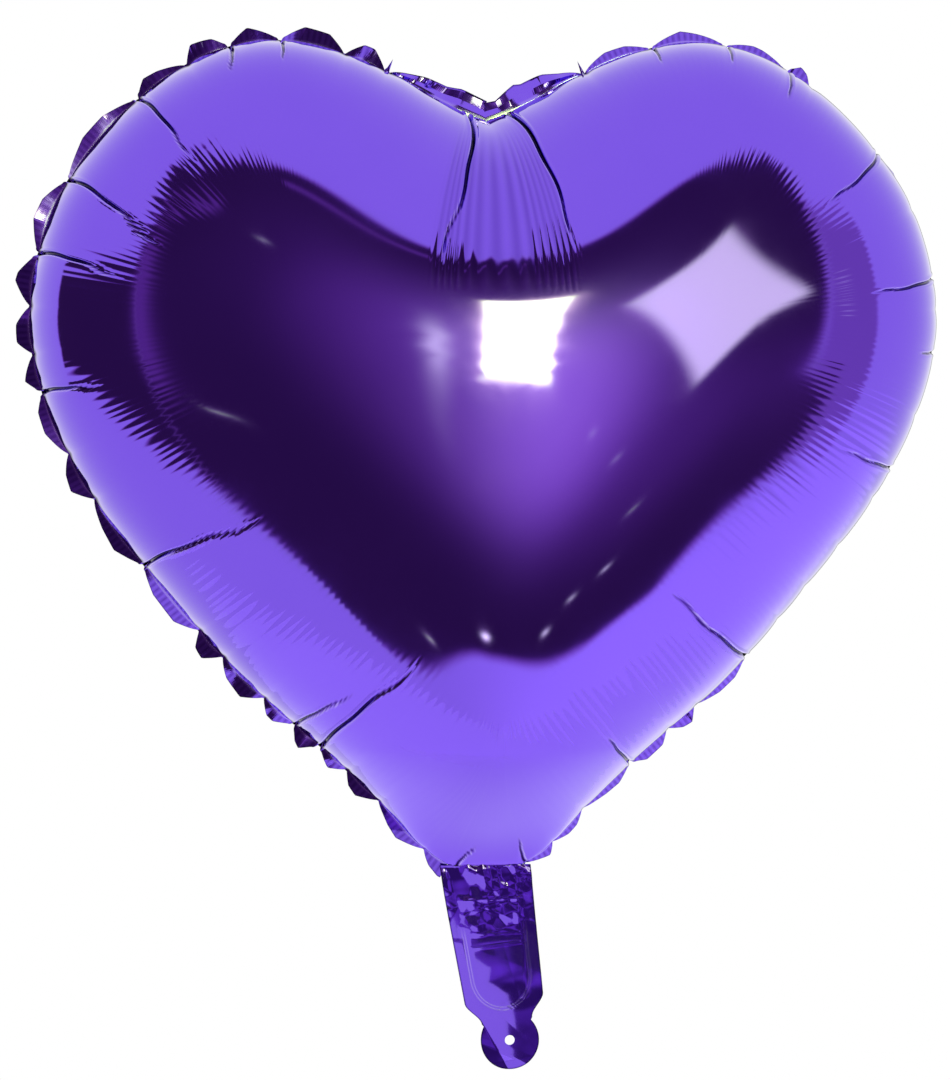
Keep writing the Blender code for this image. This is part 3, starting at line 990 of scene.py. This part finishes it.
def mix_colours(tree, amount, first, second):
    """The first colour, a socket, mixed by this much with the second, a fixed colour."""
    node = tree.nodes.new("ShaderNodeMix")
    node.data_type = "RGBA"
    tree.links.new(amount.socket, node.inputs["Factor"])
    tree.links.new(first, node.inputs["A"])
    node.inputs["B"].default_value = second
    return node.outputs["Result"]


def make_floor():
    """A pale round floor, well below the hanging balloon."""
    radius, level, count = 0.75, -0.5, 96
    angles = np.linspace(0, 2 * math.pi, count, endpoint=False)
    vertices = [(radius * math.cos(angle), radius * math.sin(angle), level) for angle in angles]
    vertices = np.array(vertices + [(0, 0, level)])
    faces = [(i, (i + 1) % count, count) for i in range(count)]
    floor = make_mesh("pale_floor", vertices, faces, smooth_shaded=False)
    material, _tree, shader = new_material("pale floor")
    shader.inputs["Base Color"].default_value = (0.94, 0.94, 0.95, 1)
    shader.inputs["Roughness"].default_value = 0.7
    floor.data.materials.append(material)


def make_lamp():
    """A soft overhead light for the floor. The foil reflects the tent and not this lamp."""
    data = bpy.data.lights.new("overhead softbox", "AREA")
    data.shape = "DISK"
    data.size = 1.4
    data.energy = 24
    lamp = bpy.data.objects.new("overhead_softbox", data)
    lamp.location = (0, 0, 1.9)
    lamp.visible_glossy = False
    bpy.context.scene.collection.objects.link(lamp)


def make_cards():
    """A white reflector card and a dark flag in front of the tail, which only its reflections see.

    They lean under the heart's tip, so that the heart is behind them, and their backs are clear.
    """
    edge = [(-13, -21), (-9, -29), (2, -35), (2, -44), (11, -55), (13, -66), (15.5, -85), (18, -140)]
    white = [(-95, -140), (-95, -12), (-20, -18)] + edge
    flag = [(-95, 6), (95, 6), (95, -140), (-95, -140)]
    # They meet the strip's own plane at this level, and come forward below it.
    top, slope = 59 * MM, 1.366
    # A point of the tail sees the card this much to the right and lower, for each unit that it is in front.
    aside, lower = 0.105, 0.094
    for name, outline, behind in (("white_reflector_card", white, 0.0), ("dark_flag", flag, 1.5 * MM)):
        vertices = []
        for x, z in np.array(outline) * MM:
            gap = (top - z) / slope + behind
            vertices.append((x + aside * gap, -gap, z - lower * gap))
        card = make_mesh(name, np.array(vertices), [tuple(range(len(outline)))], 1, smooth_shaded=False)
        card.data.materials.append(make_card_material(name))
        card.visible_camera = False
        card.visible_diffuse = False
        card.visible_shadow = False


def make_card_material(name):
    """A lit front and a clear back: even white, or violet clouds that are brighter beside the neck."""
    material, tree, _shader = new_material(name.replace("_", " "))
    tree.nodes.clear()
    lit = tree.nodes.new("ShaderNodeEmission")
    clear_back = tree.nodes.new("ShaderNodeBsdfTransparent")
    mix = tree.nodes.new("ShaderNodeMixShader")
    out = tree.nodes.new("ShaderNodeOutputMaterial")
    surface = tree.nodes.new("ShaderNodeNewGeometry")
    if name == "dark_flag":
        split = tree.nodes.new("ShaderNodeSeparateXYZ")
        tree.links.new(surface.outputs["Position"], split.inputs[0])
        beside_neck = Field(tree, split.outputs[2]).above(-85 * MM, -35 * MM) * 0.75 + 0.25
        cloudy = clouds(tree, surface.outputs["Position"], scale=45).above(0.42, 0.66)
        level = cloudy * beside_neck * 0.6 + 0.14
        tree.links.new(level.socket, lit.inputs["Strength"])
        lit.inputs["Color"].default_value = (0.62, 0.28, 0.92, 1)
    else:
        lit.inputs["Strength"].default_value = 0.95
    tree.links.new(surface.outputs["Backfacing"], mix.inputs[0])
    tree.links.new(lit.outputs[0], mix.inputs[1])
    tree.links.new(clear_back.outputs[0], mix.inputs[2])
    tree.links.new(mix.outputs[0], out.inputs["Surface"])
    return material


def make_camera():
    distance, azimuth, elevation = 2.4, math.radians(-6), math.radians(1.5)
    look_at = np.array([-4 * MM, 0, 133 * MM])
    # The height of the view at the balloon.
    seen_height = 0.4389
    data = bpy.data.cameras.new("camera")
    data.sensor_width = 36
    data.lens = data.sensor_width * distance / seen_height
    camera = bpy.data.objects.new("camera", data)
    away = (
        math.sin(azimuth) * math.cos(elevation),
        -math.cos(azimuth) * math.cos(elevation),
        math.sin(elevation),
    )
    camera.location = look_at + distance * np.array(away)
    camera.rotation_euler = (math.pi / 2 - elevation, 0, azimuth)
    bpy.context.scene.collection.objects.link(camera)
    bpy.context.scene.camera = camera


def place_skin(piece, body, node):
    piece.data.materials.append(foil)
    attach(piece, body)
    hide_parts(node)


heart = Heart()
foil = make_foil()
clear = make_valve_material()
front, front_rim, front_along, pinches = make_skin("front_foil_skin", heart, -1, FRONT_CREASES, 3)
place_skin(front, "balloon", "front_foil_panel")
back_creases = even_creases(heart, np.random.default_rng(5))
back = make_skin("back_foil_skin", heart, 1, back_creases, 4)[0]
place_skin(back, "balloon", "back_foil_panel")
flange = make_flange(heart, front_rim, front_along, pinches)
flange.data.materials.append(foil)
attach(flange, "balloon")

for word, side, seed in (("front", -1, 21), ("back", 1, 31)):
    neck = grid_film(f"neck_{word}_skin", side, -0.9 * MM, NECK_CUT, seed)
    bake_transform(neck)
    tail = grid_film(f"tail_{word}_skin", side, NECK_CUT, TAIL_CUT, seed)
    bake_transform(tail)
    tab = end_film(f"tab_{word}_skin", side, TAIL_CUT, seed)
    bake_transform(tab)
    for piece, node in (
        (neck, f"neck_{word}_foil"),
        (tail, f"tail_{word}_foil"),
        (tab, f"tab_{word}_foil"),
    ):
        piece.data.materials.append(foil)
        piece.visible_glossy = piece is neck
        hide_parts(node)
    neck_valve = valve_film(f"neck_{word}_valve", side, TWIST_GAP, NECK_CUT)
    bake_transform(neck_valve)
    tail_valve = valve_film(f"tail_{word}_valve", side, NECK_CUT, VALVE_END)
    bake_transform(tail_valve)
    for piece, node in (
        (neck_valve, f"neck_{word}_valve_film"),
        (tail_valve, f"tail_{word}_valve_film"),
    ):
        piece.data.materials.append(clear)
        piece.visible_glossy = False
        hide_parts(node)
    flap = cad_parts[f"valve_{word}_flap"]
    flap.data.materials.clear()
    flap.data.materials.append(clear)

make_sky()
make_floor()
make_lamp()
make_cards()
make_camera()
bpy.context.scene.view_settings.view_transform = "Standard"
